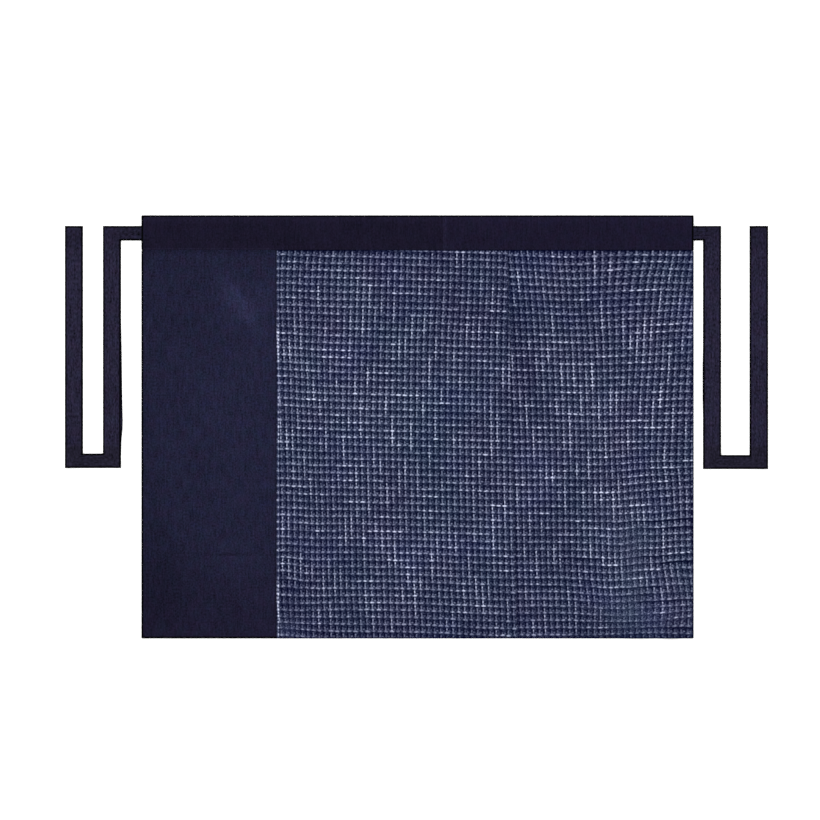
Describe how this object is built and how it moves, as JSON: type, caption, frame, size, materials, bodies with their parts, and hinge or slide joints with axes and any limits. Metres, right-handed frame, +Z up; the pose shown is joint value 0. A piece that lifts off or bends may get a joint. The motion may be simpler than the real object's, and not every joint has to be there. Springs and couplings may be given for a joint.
{
  "type": "hanfu wrap skirt",
  "caption": "Wrap skirt opened out flat: a folded waistband with a tie in each end, over a plain navy end panel and a body of blue check cloth.",
  "frame": {"origin": "centre of the laid garment's outline, on the surface that it rests on", "axes": "+X along the waistband to the right as the skirt lies face up, +Y from the hem to the waist, +Z up out of the face"},
  "size_m": [1.4068, 0.844, 0.0058],
  "materials": {
    "waistband_cotton": "matt dark navy cotton, fine upright grain",
    "plain_cotton": "matt dark navy cotton, fine plain weave with a soft sheen",
    "check_cloth": "matt slubbed cotton, small woven check of pale threads on navy",
    "tie_cotton": "matt dark navy cotton, grain along the strip"
  },
  "bodies": {
    "root": {"waistband_left": "waistband_cotton", "waistband_right": "waistband_cotton", "plain_panel": "plain_cotton", "check_panel_left": "check_cloth", "check_panel_right": "check_cloth", "tie_left": "tie_cotton", "tie_right": "tie_cotton"}
  },
  "joints": []
}
